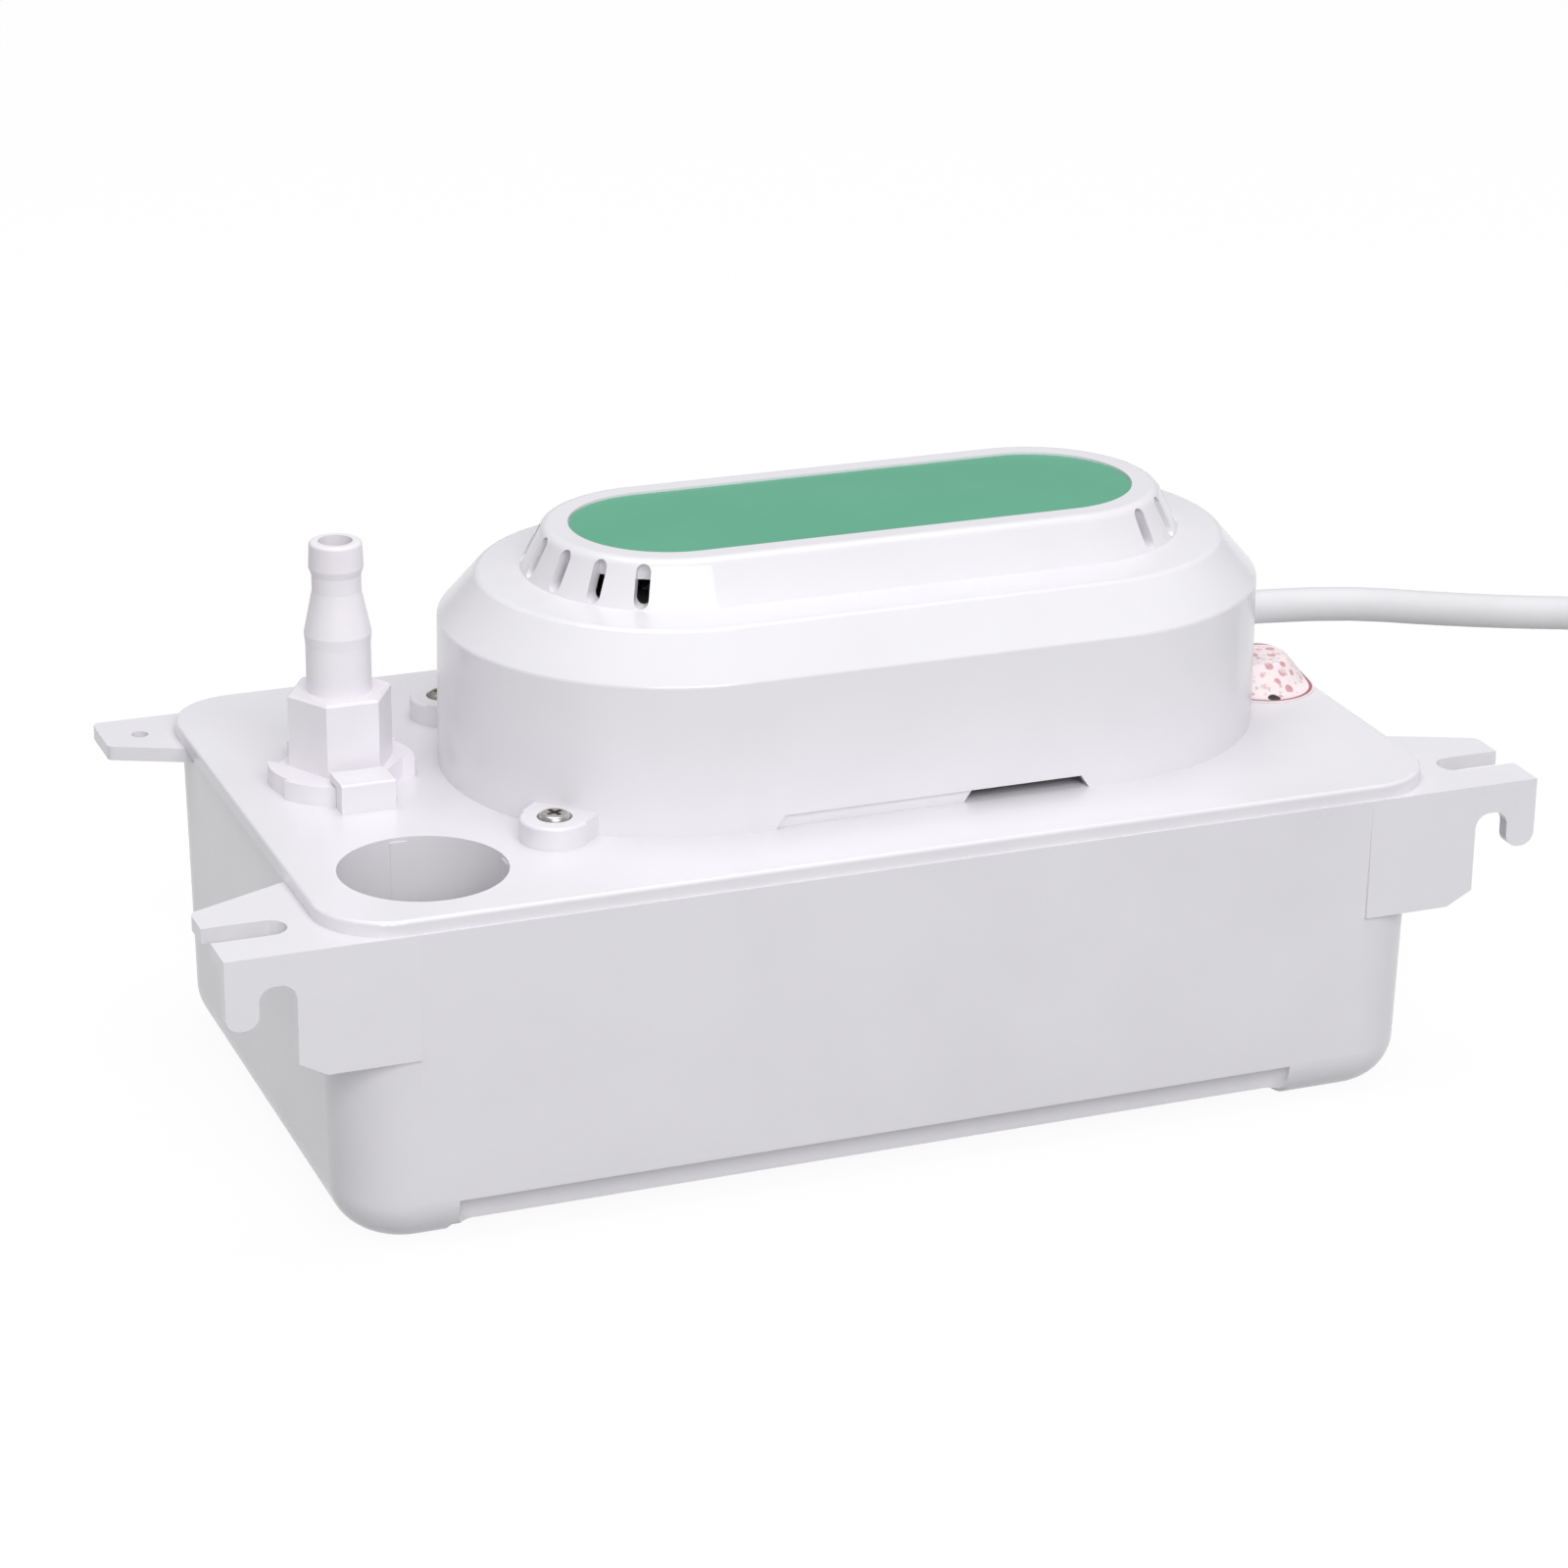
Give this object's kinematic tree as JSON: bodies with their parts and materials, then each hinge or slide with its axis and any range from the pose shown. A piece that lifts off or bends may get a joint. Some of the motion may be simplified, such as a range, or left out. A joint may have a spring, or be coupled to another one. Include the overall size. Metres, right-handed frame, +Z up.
{
  "type": "condensate pump",
  "caption": "Tank-type condensate pump: shallow water tank with wall ears, lid with inlet and bayonet hose outlet, vented motor cover, float switch, immersed pump and coiled mains cord.",
  "frame": {"origin": "middle of the tank's footprint, on the surface the feet stand on", "axes": "+X along the tank towards the end the mains cord leaves, +Y from the front face with the hooks to the back, +Z up"},
  "size_m": [0.5794, 0.119, 0.1081],
  "materials": {
    "white_abs": "gloss",
    "label_green": "gloss",
    "label_pink": "satin",
    "screw_steel": "polished",
    "lamination_steel": "matte",
    "copper": "satin",
    "nylon": "satin",
    "bronze": "satin",
    "galvanised": "satin",
    "shaft_steel": "polished",
    "fan_black": "satin",
    "pump_plastic": "satin",
    "hose_clear": "gloss",
    "fitting_white": "satin",
    "rubber_black": "matte",
    "spring_steel": "polished",
    "float_foam": "matte",
    "switch_black": "satin",
    "button_red": "satin",
    "brass": "polished",
    "cord_white": "satin"
  },
  "bodies": {
    "tank_body": {"tank": "white_abs"},
    "head": {"lid": "white_abs", "motor_cover": "white_abs", "label": "label_green", "seal_sticker": "label_pink", "cover_screws": "screw_steel", "motor_stator": "lamination_steel", "shading_rings": "copper", "coil_bobbin": "nylon", "coil_winding": "copper", "upper_bearing_bracket": "galvanised", "lower_bearing_bracket": "galvanised", "shaft_bearings": "bronze", "motor_screws": "screw_steel", "pump_column": "pump_plastic", "volute_body": "pump_plastic", "suction_cover": "pump_plastic", "volute_screws": "shaft_steel", "riser_hose": "hose_clear", "switch_bracket": "pump_plastic", "bracket_screws": "screw_steel", "lever_pin": "shaft_steel", "run_switch": "switch_black", "alarm_switch": "switch_black", "switch_pins": "shaft_steel", "terminal_block": "nylon", "motor_leads": "cord_white", "cord_clamp": "nylon", "cord_gland": "cord_white", "power_cord": "cord_white", "cord_coil": "cord_white", "cord_tie": "rubber_black", "cord_end": "cord_white", "plug_body": "cord_white", "plug_pins": "brass"},
    "rotor_unit": {"rotor": "lamination_steel", "motor_shaft": "shaft_steel", "cooling_fan": "fan_black", "impeller": "nylon"},
    "float_unit": {"float": "float_foam", "float_stem": "nylon", "stem_collar": "nylon"},
    "lever": {"switch_lever": "nylon"},
    "run_button_unit": {"run_button": "button_red"},
    "alarm_button_unit": {"alarm_button": "button_red"},
    "valve_unit": {"valve_base": "fitting_white", "outlet_barb": "fitting_white", "valve_oring": "rubber_black", "valve_spring": "spring_steel"},
    "poppet_unit": {"valve_poppet": "rubber_black"}
  },
  "joints": [
    {"name": "head_lift", "type": "slide", "parent": "tank_body", "child": "head", "axis": [0, 0, 1], "range_m": [0, 0.07]},
    {"name": "rotor_spin", "type": "hinge", "parent": "head", "child": "rotor_unit", "pos_m": [-0.028, 0.00075, 0.083], "axis": [0, 0, 1], "continuous": true},
    {"name": "float_rise", "type": "slide", "parent": "head", "child": "float_unit", "axis": [0, 0, 1], "range_m": [0, 0.009]},
    {"name": "lever_swing", "type": "hinge", "parent": "head", "child": "lever", "pos_m": [0.038, 0.00075, 0.0723], "axis": [0, -1, 0], "range_deg": [0, 18.42]},
    {"name": "run_button_press", "type": "slide", "parent": "head", "child": "run_button_unit", "axis": [0, 0, 1], "range_m": [0, 0.002]},
    {"name": "alarm_button_press", "type": "slide", "parent": "head", "child": "alarm_button_unit", "axis": [0, 0, 1], "range_m": [0, 0.0008], "stiffness_N_per_m": 60},
    {"name": "valve_twist", "type": "hinge", "parent": "head", "child": "valve_unit", "pos_m": [-0.0845, 0.0088, 0.0627], "axis": [0, 0, 1], "range_deg": [-50, 0]},
    {"name": "poppet_lift", "type": "slide", "parent": "valve_unit", "child": "poppet_unit", "axis": [0, 0, 1], "range_m": [0, 0.0025], "stiffness_N_per_m": 20, "deforming": ["valve_spring"]}
  ],
  "couplings": [
    {"joint": "lever_swing", "follows": "float_rise", "rad_per_m": 35.714},
    {"joint": "run_button_press", "follows": "float_rise", "ratio": 0.2222}
  ]
}
